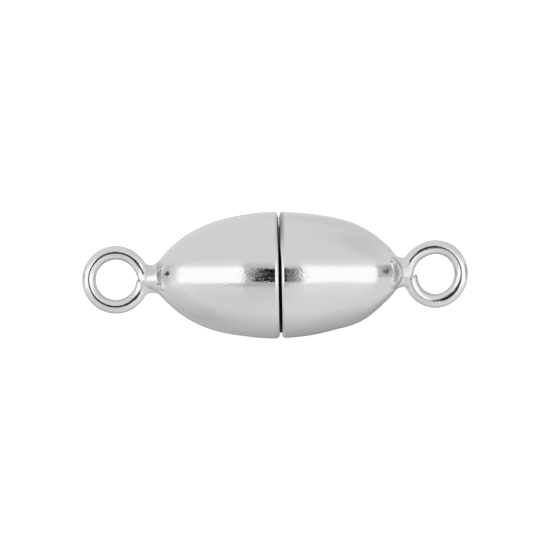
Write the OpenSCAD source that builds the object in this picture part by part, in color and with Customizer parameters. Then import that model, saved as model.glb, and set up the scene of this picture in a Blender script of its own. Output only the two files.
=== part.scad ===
// Magnetic clasp: two hollow olive halves, each with a ring soldered on its tip and a magnet in its mouth.
// Frame: +X along the clasp, +Z up. The halves touch the surface at z = 0, and the rings lie flat.

/* [Halves] */
// Outer diameter of both halves at the widest place
cup_d = 8; // [7.6:0.1:9]
// Thickness of the metal
wall = 0.3; // [0.2:0.05:0.5]
// Length of the left half from the seam to its point, without the ring
left_l = 8.3; // [7.9:0.1:10]
// Length of the right half from the seam to its point, without the ring
right_l = 7.95; // [7.5:0.05:9.5]
// Radius of the long shallow curve of the left half, seen from the side
left_belly_r = 15; // [13:0.5:18]
// Radius of the long shallow curve of the right half, seen from the side
right_belly_r = 19.6; // [17:0.2:24]
// Angle at which the left half's shallow curve passes into its nose, in degrees
left_turn = 15; // [12:0.5:17]
// Angle at which the right half's shallow curve passes into its nose, in degrees
right_turn = 12.5; // [10:0.5:14]
// Distance from the seam to the widest place of the left half
left_crown = 0.1; // [-0.5:0.05:0.5]
// Distance from the seam to the widest place of the right half, which its mouth cuts off
right_crown = -0.6; // [-1:0.05:0]
// Radius of the rounded outer edge of each mouth
rim_round = 0.18; // [0.1:0.02:0.2]

/* [Seam and magnets] */
// Open line between the two mouths while the clasp is closed
seam_gap = 0.2; // [0.1:0.02:0.4]
// Depth of the left magnet's face below the left mouth, which takes in the right magnet
recess = 0.45; // [0.3:0.05:0.7]
// Metal left round the magnets' seats where it is thinnest, which sets the magnets' diameter
seat_wall = 0.2; // [0.15:0.05:0.5]
// Thickness of both disc magnets
magnet_t = 1.5; // [1.2:0.1:1.8]
// Bevel round the edges of the magnets
magnet_bevel = 0.1; // [0.05:0.01:0.2]
// Clearance round and behind each magnet in its seat
magnet_fit = 0.03; // [0.02:0.01:0.06]
// Clearance between the two magnets' faces
face_fit = 0.02; // [0.01:0.01:0.05]
// Width of the ledge behind each magnet
ledge = 0.25; // [0.15:0.05:0.5]

/* [Rings] */
// Thickness of the ring wire
wire_d = 0.9; // [0.7:0.05:1.1]
// Clear diameter of the hole in each ring
ring_hole = 2.5; // [2:0.1:3.5]
// Amount that the hole's inner wall is worn flat by what hangs in it
hole_wear = 0.02; // [0.01:0.01:0.04]
// Depth that the left half's point reaches into its ring's wire
left_sunk = 0.1; // [0.05:0.05:0.3]
// Depth that the right half's point reaches into its ring's wire
right_sunk = 0.37; // [0.25:0.02:0.45]
// Distance that both rings sit off the clasp's middle line, towards -Y
ring_drop = 0.12; // [0:0.02:0.2]
// Radius of the solder that fills the corner between the left half and its ring
left_solder_r = 0.63; // [0.4:0.05:0.8]
// Radius of the solder that fills the corner between the right half and its ring
right_solder_r = 0.38; // [0.3:0.02:0.6]

/* [Hidden] */
$fn = 96;
// Steps in each long curve and in each small one
long_steps = 12;
small_steps = 7;
// Depth that the solder's curves run into the wire, so that they cross its face at an angle
solder_bite = 0.04;
cup_r = cup_d / 2;
wire_r = wire_d / 2;
ring_mid_r = ring_hole / 2 - hole_wear + wire_r;
ring_outer_r = ring_mid_r + wire_r;
// Places of the rings, the magnets' front faces and the seats' inner ends, from the middle of the seam
left_ring_at = left_l + ring_outer_r - left_sunk;
right_ring_at = right_l + ring_outer_r - right_sunk;
left_magnet_at = seam_gap / 2 + recess;
right_magnet_at = face_fit - left_magnet_at;
left_seat_end = left_magnet_at + magnet_t + magnet_fit;
right_seat_end = right_magnet_at + magnet_t + magnet_fit;
// Both magnets are alike, and as wide as the narrower seat lets them be
seat_r = min(
    belly_height(left_belly_r, left_crown, left_seat_end),
    belly_height(right_belly_r, right_crown, right_seat_end)
) - seat_wall;
magnet_r = seat_r - magnet_fit;
// The origin lies under the middle of the whole length
seam_x = (left_ring_at - right_ring_at) / 2;
beyond = cup_d;

// Points along an arc round centre c from angle a to angle b; one that follows another leaves out its point 0
function arc(c, r, a, b, steps, first = 0) =
    [for (i = [first : steps]) c + r * dir(a + (b - a) * i / steps)];
function dir(a) = [cos(a), sin(a)];
function angle_to(from, to) = atan2(to[1] - from[1], to[0] - from[0]);
// Crossing of two circles, on the left of the line from the first centre to the second
function crossing(c1, r1, c2, r2) =
    let (d = norm(c2 - c1), u = (c2 - c1) / d)
    let (k = (r1 * r1 - r2 * r2 + d * d) / (2 * d))
    c1 + u * k + [-u[1], u[0]] * sqrt(r1 * r1 - k * k);

// A half's outline is drawn as [distance from the seam, distance from the middle line].
// Its belly arc passes into its nose arc without a corner, and the nose arc ends at the point [l, 0].
function belly_centre(belly_r, crown) = [crown, cup_r - belly_r];
function belly_height(belly_r, crown, at) = cup_r - belly_r + sqrt(pow(belly_r, 2) - pow(at - crown, 2));
function turn_point(belly_r, crown, turn) = belly_centre(belly_r, crown) + belly_r * dir(90 - turn);
function nose_radius(l, belly_r, crown, turn) =
    let (w = [l, 0] - turn_point(belly_r, crown, turn))
    -(w * w) / (2 * w * dir(90 - turn));
function nose_centre(l, belly_r, crown, turn) =
    turn_point(belly_r, crown, turn) - nose_radius(l, belly_r, crown, turn) * dir(90 - turn);

// Turns an outline about the clasp's middle line, which is the X axis here
module turned() {
    rotate([0, 90, 0])
        rotate_extrude()
            mirror([1, -1])
                children();
}

// Outside of a half as a solid turned body, from its mouth to inside the ring's wire
module half_outside(l, belly_r, crown, turn, ring_at, solder_r) {
    mouth = seam_gap / 2;
    bc = belly_centre(belly_r, crown);
    nc = nose_centre(l, belly_r, crown, turn);
    nr = nose_radius(l, belly_r, crown, turn);
    ring_c = [ring_at, 0];
    bitten_r = ring_outer_r - solder_bite;
    // The rounded edge of the mouth touches the mouth's plane and the belly arc
    edge_at = mouth + rim_round;
    edge_c = [edge_at, bc[1] + sqrt(pow(belly_r - rim_round, 2) - pow(edge_at - crown, 2))];
    edge_turn = angle_to(bc, edge_c);
    solder_c = crossing(nc, nr + solder_r, ring_c, bitten_r + solder_r);
    nose_end = angle_to(nc, solder_c);
    solder_end = angle_to(solder_c, ring_c);
    flare = solder_c + solder_r * dir(solder_end);
    turned()
        polygon(concat(
            [[mouth, 0]],
            arc(edge_c, rim_round, 180, edge_turn, small_steps),
            arc(bc, belly_r, edge_turn, 90 - turn, long_steps, 1),
            arc(nc, nr, 90 - turn, nose_end, long_steps, 1),
            arc(solder_c, solder_r, nose_end - 180, solder_end, small_steps, 1),
            [[flare[0], 0]]
        ));
}

// Room that the solder is kept to, above and below, so that it runs down onto the round wire
module solder_room(l, belly_r, crown, turn, ring_at, solder_r) {
    nc = nose_centre(l, belly_r, crown, turn);
    nr = nose_radius(l, belly_r, crown, turn);
    wire_c = [ring_at - ring_mid_r, 0];
    solder_c = crossing(nc, nr + solder_r, wire_c, wire_r - solder_bite + solder_r);
    upper = concat(
        [[-beyond, beyond], [solder_c[0] - solder_r, beyond]],
        arc(solder_c, solder_r, 180, 360 + angle_to(solder_c, wire_c), small_steps)
    );
    lower = [for (i = [len(upper) - 1 : -1 : 0]) [upper[i][0], -upper[i][1]]];
    translate([ring_at, -ring_drop, 0])
        rotate_extrude()
            polygon([for (p = concat(upper, lower)) [ring_at - p[0], p[1]]]);
}

// Hollow of a half: the magnet's seat, and behind it a space that follows the outside, a wall's thickness in
module half_hollow(l, belly_r, crown, turn, seat_end) {
    nc = nose_centre(l, belly_r, crown, turn);
    nose_in = nose_radius(l, belly_r, crown, turn) - wall;
    belly_in = belly_r - wall;
    bc = belly_centre(belly_r, crown);
    tip = asin(-nc[1] / nose_in);
    turned() {
        translate([-beyond, 0])
            square([beyond + seat_end, seat_r]);
        intersection() {
            translate([seat_end - wall, 0])
                square([l, seat_r - ledge]);
            polygon(concat(
                [[0, 0]],
                arc(bc, belly_in, 90, 90 - turn, long_steps),
                arc(nc, nose_in, 90 - turn, tip, long_steps, 1)
            ));
        }
    }
}

// Ring of round wire, lying flat
module ring() {
    rotate_extrude()
        difference() {
            translate([ring_mid_r, 0])
                circle(wire_r);
            translate([0, -wire_r])
                square([ring_hole / 2, wire_d]);
        }
}

// One half with its ring soldered on, pointing towards +X from the middle of the seam
module half(l, belly_r, crown, turn, ring_at, seat_end, solder_r) {
    difference() {
        union() {
            intersection() {
                half_outside(l, belly_r, crown, turn, ring_at, solder_r);
                solder_room(l, belly_r, crown, turn, ring_at, solder_r);
            }
            translate([ring_at, -ring_drop, 0])
                ring();
        }
        half_hollow(l, belly_r, crown, turn, seat_end);
    }
}

// Disc magnet with its front face at the given distance from the seam
module magnet(front) {
    turned()
        translate([front, 0])
            polygon([
                [0, 0], [0, magnet_r - magnet_bevel], [magnet_bevel, magnet_r],
                [magnet_t - magnet_bevel, magnet_r], [magnet_t, magnet_r - magnet_bevel], [magnet_t, 0]
            ]);
}

// Stands the right-hand pieces in the clasp, and the left-hand ones mirrored
module in_clasp(side) {
    translate([seam_x, 0, cup_r])
        mirror([side < 0 ? 1 : 0, 0, 0])
            children();
}

module left_half() {
    color("silver")
        in_clasp(-1)
            half(
                left_l, left_belly_r, left_crown, left_turn,
                left_ring_at, left_seat_end, left_solder_r
            );
}

module right_half() {
    color("silver")
        in_clasp(1)
            half(
                right_l, right_belly_r, right_crown, right_turn,
                right_ring_at, right_seat_end, right_solder_r
            );
}

module left_magnet() {
    color("gray")
        in_clasp(-1)
            magnet(left_magnet_at);
}

module right_magnet() {
    color("gray")
        in_clasp(1)
            magnet(right_magnet_at);
}

left_half();
right_half();
left_magnet();
right_magnet();
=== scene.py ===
# Magnetic clasp in polished silver, closed and lying on a white table, seen from straight above
import math
import bpy
import numpy as np
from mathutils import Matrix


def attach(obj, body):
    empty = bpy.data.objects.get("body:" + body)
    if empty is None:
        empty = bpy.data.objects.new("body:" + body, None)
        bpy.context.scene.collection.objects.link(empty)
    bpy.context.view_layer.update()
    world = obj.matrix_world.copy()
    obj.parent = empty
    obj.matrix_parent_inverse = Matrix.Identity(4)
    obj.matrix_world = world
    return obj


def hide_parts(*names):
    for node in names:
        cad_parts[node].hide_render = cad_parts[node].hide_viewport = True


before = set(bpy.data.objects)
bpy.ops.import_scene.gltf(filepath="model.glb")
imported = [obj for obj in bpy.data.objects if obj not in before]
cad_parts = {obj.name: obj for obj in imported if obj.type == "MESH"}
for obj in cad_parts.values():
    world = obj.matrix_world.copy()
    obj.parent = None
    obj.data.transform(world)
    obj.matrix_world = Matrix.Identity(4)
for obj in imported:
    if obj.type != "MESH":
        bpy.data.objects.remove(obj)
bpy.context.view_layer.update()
mm = 0.001
axisHeight = 4.0  # the clasp's middle line above the table, in mm
seamX = 0.31  # the middle of the seam along X, in mm
print("frame loaded:", ", ".join(sorted(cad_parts)))


# Arithmetic on a socket: an expression on values adds its Math nodes
class Signal:
    def __init__(self, graph, socket):
        self.graph = graph
        self.socket = socket

    def other(self, output):
        return Signal(self.graph, self.socket.node.outputs[output])

    def __add__(self, value):
        return self.graph.math("ADD", self, value)

    def __radd__(self, value):
        return self.graph.math("ADD", value, self)

    def __sub__(self, value):
        return self.graph.math("SUBTRACT", self, value)

    def __rsub__(self, value):
        return self.graph.math("SUBTRACT", value, self)

    def __mul__(self, value):
        return self.graph.math("MULTIPLY", self, value)

    def __rmul__(self, value):
        return self.graph.math("MULTIPLY", value, self)

    def __truediv__(self, value):
        return self.graph.math("DIVIDE", self, value)

    def __pow__(self, value):
        return self.graph.math("POWER", self, value)

    def __neg__(self):
        return self.graph.math("MULTIPLY", self, -1.0)

    def __abs__(self):
        return self.graph.math("ABSOLUTE", self)


# A node tree that is filled through one method
class Graph:
    def __init__(self, tree):
        self.tree = tree
        tree.nodes.clear()

    # Adds a node: its settings first, then each input by name or number, as a value or a link
    def node(self, kind, settings=None, inputs=None, output=0):
        made = self.tree.nodes.new(kind)
        for name, value in (settings or {}).items():
            setattr(made, name, value)
        for name, value in (inputs or {}).items():
            if isinstance(value, Signal):
                self.tree.links.new(value.socket, made.inputs[name])
            else:
                made.inputs[name].default_value = value
        return Signal(self, made.outputs[output]) if len(made.outputs) else None

    # One Math node on up to three values
    def math(self, operation, *values):
        return self.node("ShaderNodeMath", {"operation": operation}, dict(enumerate(values)))

    # 0 below low, 1 above high and a smooth rise between
    def rise(self, value, low, high):
        made = {"Value": value, "From Min": low, "From Max": high}
        return self.node("ShaderNodeMapRange", {"interpolation_type": "SMOOTHSTEP"}, made)

    # 1 between low and high, with soft edges on both sides
    def window(self, value, low, high, softLow, softHigh):
        start = self.rise(value, low - softLow / 2, low + softLow / 2)
        return start * (1 - self.rise(value, high - softHigh / 2, high + softHigh / 2))

    # Value a where the mask is 0 and b where it is 1
    def blend(self, mask, a, b):
        return self.node("ShaderNodeMix", None, {0: mask, 2: a, 3: b})

    # Distance between a place and a fixed point
    def distance(self, place, point):
        return self.node("ShaderNodeVectorMath", {"operation": "DISTANCE"}, {0: place, 1: point}, "Value")

    # The same number in red, green and blue
    def grey(self, value):
        return self.node("ShaderNodeCombineColor", None, {0: value, 1: value, 2: value})

    # Noise from about 0 to 1 at a place that is first multiplied by a scale for each axis
    def noise(self, place, scale, detail, rough):
        scaled = self.node("ShaderNodeMapping", None, {0: place, 3: scale})
        made = {"Vector": scaled, "Scale": 1.0, "Detail": detail, "Roughness": rough}
        return self.node("ShaderNodeTexNoise", None, made)

    # Noise on the object whose grains are about size metres wide, stretched along each axis
    def grain(self, size, detail=2.0, stretch=(1, 1, 1), rough=0.5):
        place = self.node("ShaderNodeTexCoord", output="Object")
        return self.noise(place, [1 / (size * s) for s in stretch], detail, rough)

    # Ends a material in a metal with a tone, a roughness and a relief in metres
    def finishMetal(self, shade, rough, height):
        bump = self.node("ShaderNodeBump", None, {"Strength": 1.0, "Distance": 1.0, "Height": height})
        metal = {"Base Color": self.grey(shade), "Metallic": 1.0, "Roughness": rough, "Normal": bump}
        shader = self.node("ShaderNodeBsdfPrincipled", None, metal)
        self.node("ShaderNodeOutputMaterial", None, {"Surface": shader})


# Points along an arc round centre, from one angle to another in degrees
def arcPath(centre, radius, start, end, count):
    angle = np.radians(np.linspace(start, end, count))
    return np.stack([centre[0] + radius * np.cos(angle), centre[1] + radius * np.sin(angle)], 1)


# Smooth step from 0 at low to 1 at high
def smoothStep(value, low, high):
    t = np.clip((value - low) / (high - low), 0, 1)
    return t * t * (3 - 2 * t)


# The same angle from -pi to pi
def wrapAngle(angle):
    return (angle + np.pi) % (2 * np.pi) - np.pi


# Union of two distance fields whose corner is filled over the width k, curving in and out without a break
def filletUnion(a, b, k):
    h = np.maximum(k - np.abs(a - b), 0) / k
    return np.minimum(a, b) - h ** 3 * k / 6


# The two arcs of a half's outline, the belly's centre and then the nose's centre and radius, drawn as
# [distance from the seam, distance from the axis]; the nose passes on from the belly without a corner
def outlineArcs(half):
    bellyCentre = np.array([half["crown"], axisHeight - half["bellyRadius"]])
    turnWay = np.array([math.sin(math.radians(half["turn"])), math.cos(math.radians(half["turn"]))])
    turnPoint = bellyCentre + half["bellyRadius"] * turnWay
    reach = np.array([half["length"], 0]) - turnPoint
    noseRadius = -(reach @ reach) / (2 * reach @ turnWay)
    return bellyCentre, turnPoint - noseRadius * turnWay, noseRadius


# Sum of soft places round a ring, each with its angle, its width and its amount
def softPlaces(angle, places):
    total = 0 * angle
    for at, width, amount in places:
        total = total + amount * np.exp(-(wrapAngle(angle - at) / width) ** 2)
    return total


# Angle from the ring's joint, from -pi to pi: positive on the upper side
def fromJoint(angle, ring):
    return wrapAngle(angle - ring["jointAngle"])


# Distance of the ring wire's middle from the ring's centre, at an angle from the clasp's side of the ring:
# the plain radius with its soft bulges, moved on the upper side of the joint and otherwise on the lower side,
# both fading away
def ringPath(angle, ring):
    off = fromJoint(angle, ring)
    above = ring["upperOut"] * np.clip(1 - np.abs(off) / ring["upperBend"], 0, 1) ** 2
    below = ring["lowerOut"] * np.clip(1 - np.abs(off) / ring["lowerBend"], 0, 1) ** 1.2
    step = smoothStep(off, -ring["stepAngle"], ring["stepAngle"])
    return ring["middle"] + softPlaces(angle, ring["bulges"]) + below + (above - below) * step


# Height of the ring wire's middle over the ring's plane: from the joint the lower side falls quickly over
# liftAngle, then the wire climbs back evenly round the ring, half the fall above the plane and half below
def ringLift(angle, ring):
    back = -fromJoint(angle, ring) % (2 * np.pi)
    fallen = 1 - np.clip(1 - back / ring["liftAngle"], 0, 1) ** ring["liftPower"]
    climbed = np.clip((back - ring["liftAngle"]) / (2 * np.pi - ring["liftAngle"]), 0, 1)
    return ring["lift"] * (0.5 - fallen * (1 - climbed))


# Half thickness of the ring wire, which swells or thins softly round the joint
def ringWire(angle, ring):
    return ring["wire"] * (1 + ring["swell"] * np.exp(-(fromJoint(angle, ring) / ring["swellAngle"]) ** 2))


# Distance field of an ellipsoid, close to the true distance near its surface: n * (n - 1) / s, where n is
# the length of the place over the radii and s the length of that over the radii once more
def blobField(u, v, w, blob):
    place = [value - middle for value, middle in zip((u, v, w), blob["centre"])]
    near = np.sqrt(sum((p / r) ** 2 for p, r in zip(place, blob["radii"])))
    steep = np.sqrt(sum((p / r ** 2) ** 2 for p, r in zip(place, blob["radii"])))
    return near * (near - 1) / np.maximum(steep, 1e-9)


# Distance field of the neck, negative inside: the nose, the ring's wire, a flattened bead of solder and
# ramps of solder above and below, each corner between them filled smoothly
def neckField(u, v, w, half):
    ring = half["ring"]
    _, noseCentre, noseRadius = outlineArcs(half)
    nose = np.hypot(u - noseCentre[0], np.hypot(v, w) - noseCentre[1]) - noseRadius
    along = ring["at"] - u
    across = v + ring["drop"]
    angle = np.arctan2(across, along)
    ringPlace = np.hypot(along, across) - ringPath(angle, ring)
    wire = np.hypot(ringPlace, w - ringLift(angle, ring)) - ringWire(angle, ring) + half["underRing"]
    lower = smoothStep(-v, *half["lowerFrom"])
    fill = half["upperFill"] + (half["lowerFill"] - half["upperFill"]) * lower
    fill = fill * (1 - half["topLess"] * smoothStep(np.abs(w), *half["topFrom"]))
    solder = filletUnion(nose, wire, fill)
    solder = filletUnion(solder, blobField(u, v, w, half["bead"]), half["beadFill"])
    for ramp in half["ramps"]:
        solder = filletUnion(solder, blobField(u, v, np.abs(w), ramp), ramp["fill"])
    return solder + collarField(u, v, w, half)


# Shallow grooves across the top of the neck, where the solder ends on the nose: each has the place of its
# straight edge, how far its other edge bulges towards the ring, its lowest and highest place across, its
# softness and its depth
def collarField(u, v, w, half):
    total = 0 * u * v
    for start, bulge, low, high, edge, depth in half["collars"]:
        turned = np.clip((2 * v - low - high) / (high - low), -1, 1)
        end = start + bulge * (1 - turned ** 2)
        inside = smoothStep(u, start - edge, start) * (1 - smoothStep(u, end, end + edge))
        total = total + depth * inside * (1 - turned ** 6) * smoothStep(w, 0, 0.2)
    return total


# Distance from the axis at which a ray across it leaves the neck: found by steps, then by halving
def neckRadius(u, cosine, sine, half):
    steps = np.linspace(0, half["rayLength"], half["raySteps"])
    inside = np.ones(u.shape, bool)
    low = np.zeros(u.shape)
    for near, far in zip(steps[:-1], steps[1:]):
        hit = neckField(u, far * cosine, far * sine, half) > 0
        low = np.where(inside & ~hit, far, low)
        inside &= ~hit
    high = low + steps[1]
    for _ in range(half["rayHalvings"]):
        middle = (low + high) / 2
        out = neckField(u, middle * cosine, middle * sine, half) > 0
        high = np.where(out, middle, high)
        low = np.where(out, low, middle)
    return (low + high) / 2


# Faces of a grid of rows and columns whose columns close on themselves; its rows may close too
def gridFaces(rows, columns, closed):
    row = np.arange(rows if closed else rows - 1)[:, None] * columns
    column = np.arange(columns)[None, :]
    after = (row + columns) % (rows * columns)
    beside = (column + 1) % columns
    return np.stack([row + column, row + beside, after + beside, after + column], -1).reshape(-1, 4)


# Faces between a row and a pole
def poleFaces(row, columns, pole, flip):
    ids = row * columns + np.arange(columns)
    after = row * columns + (np.arange(columns) + 1) % columns
    ends = (after, ids) if flip else (ids, after)
    return np.stack([*ends, np.full(columns, pole)], 1)


# Points and faces of a closed shell: a grid of rows between a first pole and a last one
def cappedShell(grid, poles):
    rows, columns = grid.shape[:2]
    points = np.concatenate([grid.reshape(-1, 3), poles])
    first = poleFaces(0, columns, len(points) - 2, True)
    last = poleFaces(rows - 1, columns, len(points) - 1, False)
    return points, [gridFaces(rows, columns, False), first, last]


# Six times the volume that faces close, which is positive where they point outwards
def signedVolume(points, faces):
    a = points[faces[:, 0]]
    total = 0.0
    for k in range(1, faces.shape[1] - 1):
        total += np.einsum("ij,ij->", a, np.cross(points[faces[:, k]], points[faces[:, k + 1]]))
    return total


# Makes a mesh object from closed shells, each (points in mm, list of face arrays), turned outwards
def shellObject(name, shells, sharpAngle, finish):
    allPoints = []
    allFaces = []
    count = 0
    for points, groups in shells:
        if sum(signedVolume(points, faces) for faces in groups) < 0:
            groups = [faces[:, ::-1] for faces in groups]
        for faces in groups:
            allFaces += (faces + count).tolist()
        allPoints.append(points)
        count += len(points)
    mesh = bpy.data.meshes.new(name)
    mesh.from_pydata((np.concatenate(allPoints) * mm).tolist(), [], allFaces)
    mesh.polygons.foreach_set("use_smooth", np.ones(len(mesh.polygons), bool))
    mesh.set_sharp_from_angle(angle=math.radians(sharpAngle))
    mesh.materials.append(finish)
    made = bpy.data.objects.new(name, mesh)
    bpy.context.scene.collection.objects.link(made)
    return made


# Outline of a cup from its inner tip round the mouth to where the fine rows begin, the number of its rows
# that lie inside, and the place of the inner tip; all as distances from the seam and from the axis
def cupOutline(half):
    bellyCentre, noseCentre, noseRadius = outlineArcs(half)
    bellyRadius = half["bellyRadius"]
    mouth = half["mouth"]
    rim = half["rimRound"]
    lip = half["seatLip"]
    seat = half["seatRadius"]
    seatEnd = half["seatEnd"]
    back = seat - half["ledge"]
    turnAngle = 90 - half["turn"]
    innerRadius = noseRadius - half["wall"]
    innerTip = math.asin(-noseCentre[1] / innerRadius)
    inner = np.concatenate([
        arcPath(noseCentre, innerRadius, math.degrees(innerTip), turnAngle, 24)[1:],
        arcPath(bellyCentre, bellyRadius - half["wall"], turnAngle, 90, 24)[1:],
    ])
    inner = inner[(inner[:, 0] > seatEnd + 0.02) & (inner[:, 1] < back)]
    # The rounded edge of the mouth touches the mouth's plane and the belly's arc
    edgeAt = mouth + rim
    edgeUp = math.sqrt((bellyRadius - rim) ** 2 - (edgeAt - half["crown"]) ** 2)
    edgeCentre = np.array([edgeAt, bellyCentre[1] + edgeUp])
    edgeTurn = math.degrees(math.atan2(edgeUp, edgeAt - half["crown"]))
    edge = arcPath(edgeCentre, rim, 180, edgeTurn, 14)
    noseEnd = math.degrees(math.acos((half["fineFrom"] - noseCentre[0]) / noseRadius))
    inside = np.concatenate([
        inner,
        np.linspace([max(seatEnd, inner[-1, 0] - 0.05), back], [seatEnd, back], 3),
        np.linspace([seatEnd, back + 0.02], [seatEnd, seat], 4),
        np.linspace([seatEnd - 0.05, seat], [mouth + lip, seat], 14),
        arcPath([mouth + lip, seat + lip], lip, -90, -180, 5)[1:],
        np.linspace([mouth, seat + lip], [mouth, edgeCentre[1]], 4)[1:],
        edge[1:-2],
    ])
    outside = np.concatenate([
        edge[-2:],
        arcPath(bellyCentre, bellyRadius, edgeTurn, turnAngle, 34)[1:-1],
        arcPath(noseCentre, noseRadius, turnAngle, noseEnd, 40),
    ])
    tip = [noseCentre[0] + innerRadius * math.cos(innerTip), 0, 0]
    return np.concatenate([inside, outside]), len(inside), tip


# Turned cup with its neck: the outline carried round the axis, then fine rows across the neck whose radius
# comes from the neck's field
def cupShell(half):
    path, insideRows, tip = cupOutline(half)
    angle = np.linspace(0, 2 * np.pi, half["columns"], endpoint=False)[None, :]
    cosine = np.cos(angle)
    sine = np.sin(angle)
    fineU = np.linspace(half["fineFrom"], half["neckEnd"], half["fineRows"])[1:, None] + 0 * cosine
    fineR = neckRadius(fineU, cosine, sine, half)
    u = np.concatenate([path[:, :1] + 0 * cosine, fineU])
    r = np.concatenate([path[:, 1:] + 0 * cosine, fineR])
    outside = np.arange(len(r))[:, None] >= insideRows
    r = r - outside * dentDepth(u, angle, half)
    v = r * cosine
    w = r * sine
    grid = np.stack([u + mouthShift(u, v, half), v, w], -1)
    points, groups = cappedShell(grid, [tip, [half["neckEnd"], 0, 0]])
    return toClasp(points, half), groups


# Shallow flats in the metal: soft dips, each with its place and length along the clasp, its angle and width
# in degrees and its depth
def dentDepth(u, angle, half):
    total = 0 * u * angle
    for at, length, way, width, depth in half["dents"]:
        turned = (np.degrees(angle) - way + 180) % 360 - 180
        total = total + depth * np.exp(-((u - at) / length) ** 2 - (turned / width) ** 2)
    return total


# The mouth isn't quite square: near the rim the metal reaches further over the seam on one side
def mouthShift(u, v, half):
    near = 1 - smoothStep(u, *half["leanAlong"])
    return -half["lean"] * near * smoothStep(v, *half["leanAcross"])


# Ring: round sections across its path, closer together at the joint, where a notch thins the wire; a crest
# is flatter or sharper as the section is drawn out or in sideways towards its top
def ringShell(half):
    ring = half["ring"]
    turn = np.linspace(-np.pi, np.pi, ring["sections"], endpoint=False)
    angle = wrapAngle(ring["jointAngle"] + turn - ring["crowding"] * np.sin(turn))
    notch = 1 - ring["notch"] * np.exp(-np.abs(fromJoint(angle, ring) / ring["notchAngle"]) ** 1.4)
    wire = (ringWire(angle, ring) * notch)[:, None]
    flat = (ring["flat"] + softPlaces(angle, ring["crests"]))[:, None]
    side = np.linspace(0, 2 * np.pi, ring["sides"], endpoint=False)[None, :]
    away = ringPath(angle, ring)[:, None] + wire * np.cos(side) * (1 + flat * np.sin(side) ** 2)
    u = ring["at"] - away * np.cos(angle)[:, None]
    v = away * np.sin(angle)[:, None] - ring["drop"]
    w = wire * np.sin(side) + ringLift(angle, ring)[:, None]
    points = np.stack([u, v, w], -1).reshape(-1, 3)
    return toClasp(points, half), [gridFaces(ring["sections"], ring["sides"], True)]


# Ball of spilt solder, half sunk in the metal: rows between two poles
def pearlShell(place, size, half):
    height = np.linspace(-np.pi / 2, np.pi / 2, 13)[1:-1, None]
    turn = np.linspace(0, 2 * np.pi, 24, endpoint=False)[None, :]
    ball = [np.cos(height) * np.cos(turn), np.cos(height) * np.sin(turn), np.sin(height) + 0 * turn]
    points, groups = cappedShell(np.stack(ball, -1), [[0, 0, -1], [0, 0, 1]])
    return toClasp(points * size + np.array(place), half), groups


# From distances from the seam to places in the clasp
def toClasp(points, half):
    x = seamX + half["side"] * points[:, 0]
    return np.stack([x, points[:, 1], points[:, 2] + axisHeight], 1)


# Places and sizes on the silver are in metres, along the clasp (x) and across it (y)
silverLook = dict(
    base=0.93,
    roughness=0.046,
    # clouds that vary the roughness either way, and tarnish that darkens a little
    wearSize=0.0009,
    wearSpread=0.018,
    tarnishSize=0.0004,
    tarnishRise=(0.55, 0.8),
    tarnishDrop=0.012,
    # fine orange peel, slow ripples, and turning lines that end before the neck
    peelSize=0.00013,
    peelHeight=0.0000032,
    rippleSize=0.0011,
    rippleHeight=0.0000040,
    latheSize=0.00011,
    latheHeight=0.0000003,
    latheEnd=(0.0066, 0.0074),
    # painted dark marks on top at the necks, the ring's joint and the bead, for shade in crevices and dark
    # reflections on curves: the place along the clasp of the straight edge, how far the other edge bulges
    # from it in an arc, middle and half width across, width of the line that is kept along the arc or 0 for
    # all, softness and darkening
    paintedDarkMarks=(
        (-0.00731, -0.00007, 0.0003, 0.00068, 0.00005, 0.00003, 0.12),
        (0.00756, 0.00020, 0.0, 0.00066, 0.0, 0.00004, 0.42),
        (0.00745, 0.00062, 0.0, 0.00102, 0.00013, 0.00004, 0.40),
        (-0.00745, 0.00026, -0.00045, 0.00008, 0.0, 0.00002, 0.45),
        (-0.00706, 0.0, 0.00028, 0.00040, 0.00018, 0.00004, 0.11),
        (-0.00862, 0.00012, -0.00020, 0.00009, 0.0, 0.00003, 0.75),
        (-0.00812, 0.00072, 0.00042, 0.00036, 0.0, 0.00010, 0.10),
        (-0.00830, 0.00078, -0.00060, 0.00032, 0.0, 0.00010, 0.05),
        (0.00866, 0.00009, -0.00017, 0.00007, 0.0, 0.00002, 0.60),
        (0.00888, 0.00009, -0.00025, 0.00007, 0.0, 0.00002, 0.50),
        (0.00849, 0.00012, 0.00074, 0.00007, 0.0, 0.00002, 0.70),
    ),
    # a painted dark reflection on top of the left neck, beside a sharp edge along the clasp: that edge, where
    # it has faded, its lowest and highest place across, darkening
    paintedDarkPatch=(-0.00741, -0.00690, -0.00015, 0.00095, 0.29),
    # a painted dark reflection on the rounded rims beside the seam, towards +Y: where it is full and gone
    # along the clasp, where it starts and is full across, darkening
    paintedRimReflection=(0.00038, 0.00072, 0.0011, 0.0030, 0.62),
    # rough solder: middle, reach and roughness
    solderPlaces=(
        (-0.00770, -0.00010, 0.0009, 0.24),
        (-0.00718, 0.00020, 0.00034, 0.24),
        (0.0080, 0.00020, 0.0011, 0.46),
    ),
    # painted shade on the insides of the rings' holes, where they mirror each other and the shaded table:
    # middles, where the painted shade fades out, how much
    ringCentres=((-0.010035, -0.00012), (0.01002, -0.00012)),
    ringHoleShade=(0.00126, 0.00142),
    ringHoleShadeDrop=0.20,
    # painted dark reflection lines along the crest of a ring's wire: its middle, their radius, from and to
    # round it in radians, darkening
    paintedCrestReflections=(
        (0.01002, -0.00012, 0.001722, 1.40, 2.25, 0.85),
        (0.01002, -0.00012, 0.001662, -1.75, -1.15, 0.60),
    ),
)
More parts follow.
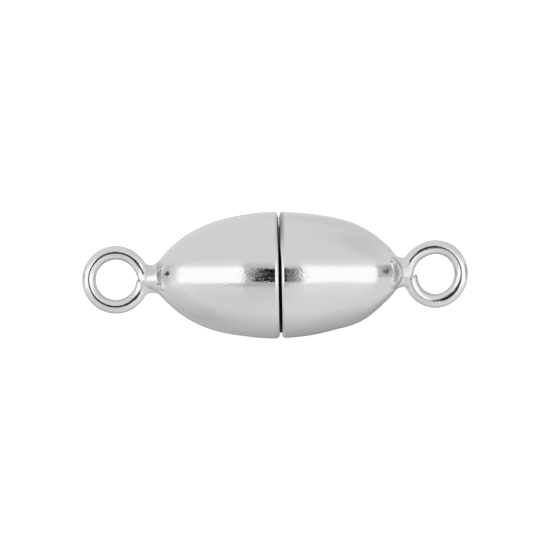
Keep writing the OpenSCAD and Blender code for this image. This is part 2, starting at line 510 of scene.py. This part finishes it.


# Polished silver: near white metal whose shade is multiplied by 1 less each painted mark's mask times its
# darkening: painted shade and dark reflections at the necks, the rims and the rings
def silverMaterial(look):
    material = bpy.data.materials.new("polishedSilver")
    material.use_nodes = True
    g = Graph(material.node_tree)
    place = g.node("ShaderNodeTexCoord", output="Object")
    along = g.node("ShaderNodeSeparateXYZ", None, {0: place})
    across = along.other("Y")
    top = g.rise(along.other("Z"), axisHeight * mm, (axisHeight + 0.3) * mm)
    onCup = 1 - g.rise(abs(along - seamX * mm), *look["latheEnd"])
    height = g.grain(look["peelSize"], 1.0) * look["peelHeight"]
    height = height + g.grain(look["rippleSize"], 1.5) * look["rippleHeight"]
    height = height + g.grain(look["latheSize"], 1.0, (1, 60, 60)) * onCup * look["latheHeight"]
    wear = g.grain(look["wearSize"], 4.0, (1, 1, 1), 0.6)
    rough = look["roughness"] + (wear - 0.5) * look["wearSpread"] * 2
    for x, y, reach, full in look["solderPlaces"]:
        away = g.distance(place, (x, y, axisHeight * mm))
        rough = rough + (1 - g.rise(away, reach * 0.6, reach)) * (full - look["roughness"])
    tarnish = g.rise(g.grain(look["tarnishSize"], 3.0), *look["tarnishRise"])
    shade = look["base"] - tarnish * look["tarnishDrop"]
    # painted dark marks: shade in the crevices and dark reflections on the curves of the necks, joint and
    # bead
    for start, bulge, middle, reach, line, soft, drop in look["paintedDarkMarks"]:
        turned = (across - middle) / reach
        arc = g.math("MAXIMUM", 1 - turned * turned, 0.0)
        far = along - start - arc * bulge
        near = far + line if line else along - start
        inside = g.rise(near, -soft, soft) * (1 - g.rise(far, -soft, soft))
        shade = shade * (1 - inside * g.rise(arc, 0.0, 0.12) * top * drop)
    # painted dark reflection on top of the left neck
    edge, gone, low, high, drop = look["paintedDarkPatch"]
    patch = g.rise(along, edge - 0.00003, edge) * (1 - g.rise(along, edge, gone))
    shade = shade * (1 - patch * g.window(across, low, high, 0.0003, 0.0004) * top * drop)
    # painted dark reflection on the rims beside the seam
    full, gone, start, wide, drop = look["paintedRimReflection"]
    band = g.rise(along, 0.0, full) * (1 - g.rise(along, full, gone)) * g.rise(across, start, wide)
    shade = shade * (1 - band * drop)
    # painted shade inside each ring's hole
    for x, y in look["ringCentres"]:
        away = ((along - x) ** 2 + (across - y) ** 2) ** 0.5
        shade = shade * (1 - (1 - g.rise(away, *look["ringHoleShade"])) * look["ringHoleShadeDrop"])
    # painted dark reflections along the ring's crest
    for x, y, radius, start, end, drop in look["paintedCrestReflections"]:
        off = abs(((along - x) ** 2 + (across - y) ** 2) ** 0.5 - radius)
        turned = g.math("ARCTAN2", across - y, along - x)
        line = (1 - g.rise(off, 0.00003, 0.00007)) * g.window(turned, start, end, 0.3, 0.3)
        shade = shade * (1 - line * top * drop)
    g.finishMetal(shade, rough, height)
    return material


silver = silverMaterial(silverLook)

# What both halves and both rings have alike, in mm and, round the rings, radians
bothHalves = dict(
    wall=0.3,
    seatLip=0.04,
    seatRadius=3.669,
    ledge=0.25,
    # rows and columns of the mesh, and the steps that look for the neck's surface
    columns=256,
    fineRows=140,
    rayLength=4.2,
    raySteps=72,
    rayHalvings=24,
    # the neck's own wire lies this far inside the ring's
    underRing=0.001,
    # from and to, downwards across the neck: the lower fillet replaces the upper one
    lowerFrom=(-0.15, 0.35),
    # from and to, above and below the neck's middle: the fillets get smaller by topLess
    topFrom=(0.08, 0.40),
    # from and to, along and across: where the mouth's lean fades and where it starts
    leanAlong=(0.25, 1.2),
    leanAcross=(0.6, 2.0),
)
bothRings = dict(drop=0.12, middle=1.70, wire=0.447, sections=256, sides=64, crowding=0.7)
leftHalf = dict(
    bothHalves,
    side=-1,
    length=8.3,
    bellyRadius=15.0,
    turn=15.0,
    crown=0.1,
    mouth=0.064,
    rimRound=0.26,
    seatEnd=2.08,
    fineFrom=6.6,
    neckEnd=8.86,
    upperFill=1.05,
    lowerFill=1.45,
    topLess=0.5,
    beadFill=0.75,
    lean=0.0,
    bead={"centre": [8.05, -0.11, 0.0], "radii": [0.45, 0.72, 0.42]},
    ramps=[{"centre": [7.55, -0.10, 0.40], "radii": [1.00, 0.75, 0.50], "fill": 0.16}],
    collars=[],
    dents=[(5.6, 1.7, 0, 40, 0.045), (2.4, 0.8, 180, 30, 0.02)],
    ring=dict(
        bothRings,
        at=10.345,
        jointAngle=-0.03,
        upperBend=0.9,
        lowerBend=1.5,
        stepAngle=0.04,
        upperOut=0.05,
        lowerOut=-0.03,
        lift=0.16,
        liftAngle=0.85,
        liftPower=2.0,
        swell=-0.10,
        swellAngle=0.8,
        notch=0.10,
        notchAngle=0.05,
        flat=0.0,
        crests=[(-0.70, 0.40, 0.28), (0.60, 0.22, 0.24), (1.57, 0.18, 0.08), (3.0, 0.6, -0.14)],
        bulges=[],
    ),
)
rightHalf = dict(
    bothHalves,
    side=1,
    length=7.95,
    bellyRadius=19.6,
    turn=12.5,
    crown=-0.6,
    mouth=0.08,
    rimRound=0.2,
    seatEnd=1.0,
    fineFrom=6.2,
    neckEnd=8.2,
    upperFill=0.70,
    lowerFill=0.84,
    topLess=0.2,
    beadFill=0.45,
    lean=0.06,
    bead={"centre": [7.52, 0.02, 0.0], "radii": [0.50, 0.90, 0.62]},
    ramps=[],
    pearls=[([8.55, -0.20, 0.16], 0.10)],
    collars=[(7.34, 0.24, -1.12, 0.98, 0.05, 0.035)],
    dents=[(3.6, 1.1, 180, 38, 0.075), (6.5, 0.9, 180, 40, 0.11), (6.95, 0.3, 0, 40, -0.055)],
    ring=dict(
        bothRings,
        at=9.71,
        jointAngle=-0.10,
        upperBend=0.7,
        lowerBend=1.6,
        stepAngle=0.045,
        upperOut=0.08,
        lowerOut=-0.235,
        lift=0.30,
        liftAngle=1.75,
        liftPower=1.3,
        swell=0.0,
        swellAngle=0.35,
        notch=0.08,
        notchAngle=0.05,
        flat=0.10,
        crests=[(1.32, 0.42, 0.28), (-2.2, 0.65, 0.26), (2.5, 0.5, -0.27), (3.14, 0.35, -0.22)],
        bulges=[(2.3, 0.6, 0.045), (1.05, 0.4, -0.045)],
    ),
)
leftShells = [cupShell(leftHalf), ringShell(leftHalf)]
rightShells = [cupShell(rightHalf), ringShell(rightHalf)]
rightShells += [pearlShell(place, size, rightHalf) for place, size in rightHalf["pearls"]]
leftPiece = shellObject("left_half_silver", leftShells, 38, silver)
rightPiece = shellObject("right_half_silver", rightShells, 38, silver)
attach(leftPiece, "left_side")
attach(rightPiece, "right_side")
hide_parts("left_half")
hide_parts("right_half")
print("halves made:", len(leftPiece.data.polygons), "and", len(rightPiece.data.polygons), "faces")

# Distances from the clasp's middle line are in metres
magnetLook = dict(
    faceShade=0.62,
    faceRoughness=0.22,
    # the side, from this distance from the middle line, is painted near black for the shade in the seam
    side=(0.00350, 0.00358),
    sideShade=0.004,
    sideRoughness=0.5,
    # painted light on the side: lighter towards +Y, and a painted highlight, smoother too, at its far end
    halfLit=(0.0014, 0.0031),
    halfShade=0.22,
    lit=(0.0029, 0.0033),
    litShade=0.97,
    litRoughness=0.15,
    # clouds that vary the side's painted shading, the face's shade, its roughness and its height
    cloudSize=0.0012,
    cloudSideShading=0.6,
    cloudShade=0.08,
    cloudRoughness=0.15,
    cloudHeight=0.000003,
    # fine scratches across the face, and what each adds or takes away
    scratchSize=0.00006,
    scratchRise=(0.62, 0.8),
    scratchShade=0.06,
    scratchRoughness=0.12,
    scratchHeight=0.0000008,
)


# Nickel plated magnet: a bright face with fine scratches, and a side painted near black for the shade deep in
# the seam, with painted light towards +Y and a painted highlight at its far end
def magnetMaterial(look):
    material = bpy.data.materials.new("magnetNickel")
    material.use_nodes = True
    g = Graph(material.node_tree)
    place = g.node("ShaderNodeTexCoord", output="Object")
    along = g.node("ShaderNodeSeparateXYZ", None, {0: place})
    across = along.other("Y")
    up = along.other("Z") - axisHeight * mm
    side = g.rise((across * across + up * up) ** 0.5, *look["side"])
    cloud = g.grain(look["cloudSize"], 4.0, (1, 1, 1), 0.6) - 0.5
    scratch = g.rise(g.grain(look["scratchSize"], 2.0, (1, 1, 30)), *look["scratchRise"])
    # painted light and shade on the side: near black for the seam's shade, lighter towards +Y, a painted
    # highlight at the far end
    lit = g.rise(across, *look["lit"])
    halfLit = look["sideShade"] + g.rise(across, *look["halfLit"]) * look["halfShade"]
    paintedSideShading = g.blend(lit, halfLit, look["litShade"]) * (1 + cloud * look["cloudSideShading"])
    face = look["faceShade"] + cloud * look["cloudShade"] - scratch * look["scratchShade"]
    faceRough = look["faceRoughness"] + cloud * look["cloudRoughness"] + scratch * look["scratchRoughness"]
    sideRough = g.blend(lit, look["sideRoughness"], look["litRoughness"])
    height = cloud * look["cloudHeight"] - scratch * look["scratchHeight"]
    g.finishMetal(g.blend(side, face, paintedSideShading), g.blend(side, faceRough, sideRough), height)
    return material


magnetNickel = magnetMaterial(magnetLook)
for magnetName in ("left_magnet", "right_magnet"):
    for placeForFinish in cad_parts[magnetName].material_slots:
        placeForFinish.material = magnetNickel
print("magnets finished")

tableLook = dict(size=1.2, shade=0.9)
tableMesh = bpy.data.meshes.new("table")
tableHalf = tableLook["size"] / 2
tableWays = ((-1, -1), (1, -1), (1, 1), (-1, 1))
tableMesh.from_pydata([(tableHalf * x, tableHalf * y, 0) for x, y in tableWays], [], [(0, 1, 2, 3)])
tablePaper = bpy.data.materials.new("whitePaper")
tablePaper.use_nodes = True
paperGraph = Graph(tablePaper.node_tree)
paperSurface = {"Base Color": (tableLook["shade"],) * 3 + (1,), "Roughness": 1.0, "Specular IOR Level": 0.0}
paperShader = paperGraph.node("ShaderNodeBsdfPrincipled", None, paperSurface)
paperGraph.node("ShaderNodeOutputMaterial", None, {"Surface": paperShader})
tableMesh.materials.append(tablePaper)
table = bpy.data.objects.new("table", tableMesh)
bpy.context.scene.collection.objects.link(table)
table.visible_glossy = False

# Light tent round the clasp. Tones are picture greys from 0 to 255, as the silver shows them. Places are
# parts of the direction that is looked in: x along the clasp, y across it and z up. A span of four numbers
# is its start, its end and how soft each of them is; one of two is from nothing to full.
tentLook = dict(
    wall=207,
    # the bright strip overhead, which the camera's opening interrupts along x, and the height where it begins
    strip=251,
    stripHalf=0.262,
    stripSoft=(0.12, 0.15),
    stripTurn=-2.5,
    stripOffset=0.003,
    stripFoot=(0.14, 0.28),
    gap=(-0.288, 0.196, 0.03, 0.04),
    gapTone=180,
    # pairs below are for the left and the right, and this is where one passes into the other along x
    toRight=(-0.25, 0.25),
    # the near side: where it begins across, below which height it darkens, how fast, and where that stops at
    # the ends; and how much it is lifted higher up
    nearSide=(-0.01, -0.16),
    fallBelow=(0.47, 0.17),
    fallSpeed=(24.0, 48.0),
    ends=(0.35, 0.8),
    liftHeight=(0.2, 0.6),
    lift=(-5.0, 3.0),
    # light from the far side's foot, which shows in the upper rim of the left half
    rimAcross=(0.0, 0.1),
    rimHeight=(-0.6, -0.95),
    rimGlow=8.0,
    # light beside the strip's left end
    leftEndAlong=(0.90, 0.97),
    leftEndHeight=(0.0, 0.30, 0.08, 0.1),
    leftEndAcross=(-0.5, 0.5, 0.3, 0.3),
    leftEndGlow=17.0,
    # glows along both sides of the strip: span across and how much lighter
    glows=(
        ((0.15, 0.385, 0.1, 0.33), 16.0),
        ((-0.52, -0.25, 0.5, 0.06), 10.0),
    ),
    # shadows of the opening's frame: span across, span along x and how much darker
    shadows=(
        ((-0.36, -0.25, 0.12, 0.02), (-0.42, 0.12, 0.3, 0.1), 26.0),
        ((0.22, 0.36, 0.04, 0.10), (-0.30, 0.0, 0.06, 0.12), 18.0),
        ((-0.7, -0.24, 0.5, 0.05), (-0.27, 0.12, 0.1, 0.1), 6.0),
    ),
    # duller or lighter places low down round the tent: direction, width and how much darker
    patches=(
        ((-0.60, -0.76, -0.25), 0.42, 13),
        ((0.64, 0.76, 0.02), 0.38, 11),
        ((-0.99, 0.10, -0.12), 0.28, 22),
        ((0.40, 0.65, -0.65), 0.40, 8),
        ((-0.22, -0.38, -0.90), 0.17, -13),
    ),
    # small black marks at each end: direction, width, how much darker and how much of them is broken up
    marks=(
        ((-0.99, 0.11, -0.05), 0.065, 190, 0.3),
        ((0.999, 0.07, -0.01), 0.090, 240, 1.0),
    ),
    markScale=(40.0, 34.0, 34.0),
    markRise=(0.46, 0.53),
    # duller places with straight edges at the right end: span across, span in height and how much darker
    barsFrom=(0.8, 0.9),
    bars=(
        ((-0.13, 0.24, 0.04, 0.04), (-0.36, 0.27, 0.08, 0.08), 31),
        ((0.06, 0.25, 0.04, 0.04), (-0.37, -0.03, 0.08, 0.08), 20),
    ),
    # the dark opening: its span across, then its spans along x: a dull body, specks that thin out along the
    # strip, and a black heart that is broken up
    core=(-0.212, 0.198, 0.06, 0.06),
    body=(-0.18, 0.17, 0.10, 0.16),
    bodyTone=128,
    specks=(-0.235, 0.16, 0.22, 0.22),
    speckTone=14,
    speckScale=(46.0, 15.5, 15.5),
    speckRise=(0.66, 0.68),
    heart=(-0.11, 0.075, 0.02, 0.03),
    heartTone=7,
    heartRise=(0.42, 0.46),
    paperGlow=1.7,
)


# Round spot about a direction, frayed by a noise: 1 within half its width and 0 beyond reach times its width
def tentSpot(g, way, fray, aim, width, reach):
    away = g.distance(way, aim) + (fray - 0.5) * width * 0.9
    return 1 - g.rise(away, width * 0.5, width * reach)


# The tent's light: its wall's tone, plus each glow and less each shadow, then the strip and the dark opening
# blended over it, and last the picture's curve undone and the silver's own shade divided out
def tentWorld(look):
    world = bpy.data.worlds.new("lightTent")
    world.use_nodes = True
    g = Graph(world.node_tree)
    way = g.node("ShaderNodeTexCoord", output="Generated")
    x = g.node("ShaderNodeSeparateXYZ", None, {0: way})
    y = x.other("Y")
    z = x.other("Z")
    across = y - x * math.tan(math.radians(look["stripTurn"])) - look["stripOffset"]
    high = g.rise(z, *look["stripFoot"])
    strip = g.window(across, -look["stripHalf"], look["stripHalf"], *look["stripSoft"]) * high
    gap = g.window(x, *look["gap"])
    toRight = g.rise(x, *look["toRight"])
    nearSide = g.rise(-y, -look["nearSide"][0], -look["nearSide"][1])
    below = g.math("MAXIMUM", g.blend(toRight, *look["fallBelow"]) - z, 0.0)
    fall = nearSide * below * g.blend(toRight, *look["fallSpeed"]) * (1 - g.rise(abs(x), *look["ends"]))
    lift = nearSide * g.rise(z, *look["liftHeight"]) * g.blend(toRight, *look["lift"])
    rimLow = g.rise(-z, -look["rimHeight"][0], -look["rimHeight"][1])
    rimLight = g.rise(y, *look["rimAcross"]) * rimLow * (1 - toRight) * look["rimGlow"]
    leftEnd = g.rise(-x, *look["leftEndAlong"]) * g.window(z, *look["leftEndHeight"])
    leftEnd = leftEnd * g.window(across, *look["leftEndAcross"]) * look["leftEndGlow"]
    tone = look["wall"] - fall + lift + rimLight + leftEnd
    for span, more in look["glows"]:
        tone = tone + g.window(across, *span) * high * (1 - gap) * more
    for span, length, drop in look["shadows"]:
        tone = tone - g.window(across, *span) * g.window(x, *length) * drop
    broken = g.noise(way, look["speckScale"], 3.0, 0.65)
    for aim, width, drop in look["patches"]:
        tone = tone - tentSpot(g, way, broken, aim, width, 1.5) * drop
    scribble = g.rise(g.noise(way, look["markScale"], 1.0, 0.5), *look["markRise"])
    for aim, width, drop, loose in look["marks"]:
        dots = 1 - loose * (1 - scribble)
        tone = tone - tentSpot(g, way, broken, aim, width, 1.4) * drop * dots
    for span, height, drop in look["bars"]:
        bar = g.window(y, *span) * g.window(z, *height) * g.rise(x, *look["barsFrom"])
        tone = tone - bar * drop
    tone = g.blend(strip * (1 - gap), tone, look["strip"])
    tone = g.blend(strip * gap, tone, look["gapTone"])
    core = g.window(across, *look["core"]) * high
    tone = g.blend(g.window(x, *look["body"]) * core, tone, look["bodyTone"])
    thick = g.window(x, *look["specks"])
    specks = g.rise(broken + thick * 0.2, *look["speckRise"]) * g.rise(thick, 0.0, 0.2)
    tone = g.blend(specks * core, tone, look["speckTone"])
    heart = g.window(x, *look["heart"]) * (0.1 + g.rise(broken, *look["heartRise"]) * 0.85)
    tone = g.blend(heart * core, tone, look["heartTone"])
    light = ((tone / 255 + 0.055) / 1.055) ** 2.4 / silverLook["base"]
    ray = g.node("ShaderNodeLightPath", output="Is Camera Ray")
    light = g.blend(ray, light, 1.0)
    light = g.blend(ray.other("Is Diffuse Ray"), light, look["paperGlow"])
    shader = g.node("ShaderNodeBackground", None, {"Color": g.grey(light), "Strength": 1.0})
    g.node("ShaderNodeOutputWorld", None, {"Surface": shader})
    return world


bpy.context.scene.world = tentWorld(tentLook)

# Soft box above the table, which the metal doesn't mirror: the tent is already in its reflections
softBoxLook = dict(size=0.25, energy=0.35, place=(-0.06, 0.10, 0.30), turn=(-18, -11, 0))
softBox = bpy.data.lights.new("softBox", "AREA")
softBox.shape = "DISK"
softBox.size = softBoxLook["size"]
softBox.energy = softBoxLook["energy"]
softBoxObject = bpy.data.objects.new("softBox", softBox)
softBoxObject.location = softBoxLook["place"]
softBoxObject.rotation_euler = [math.radians(turn) for turn in softBoxLook["turn"]]
softBoxObject.visible_glossy = False
softBoxObject.visible_camera = False
bpy.context.scene.collection.objects.link(softBoxObject)
print("table and light tent set")

# Camera straight above: its field at the clasp's middle line in mm, its turn in degrees
cameraLook = dict(lens=250.0, sensor=36.0, fieldAtAxis=34.66, turn=-1.02, shiftX=-0.000006)
camera = bpy.data.cameras.new("camera")
camera.lens = cameraLook["lens"]
camera.sensor_width = cameraLook["sensor"]
camera.clip_start = 0.01
camera.clip_end = 3.0
cameraObject = bpy.data.objects.new("camera", camera)
cameraDistance = cameraLook["fieldAtAxis"] * cameraLook["lens"] / cameraLook["sensor"]
cameraObject.location = (cameraLook["shiftX"], 0.0, (axisHeight + cameraDistance) * mm)
cameraObject.rotation_euler = (0, 0, math.radians(cameraLook["turn"]))
bpy.context.scene.collection.objects.link(cameraObject)
bpy.context.scene.camera = cameraObject
bpy.context.scene.view_settings.view_transform = "Standard"
print("camera set")
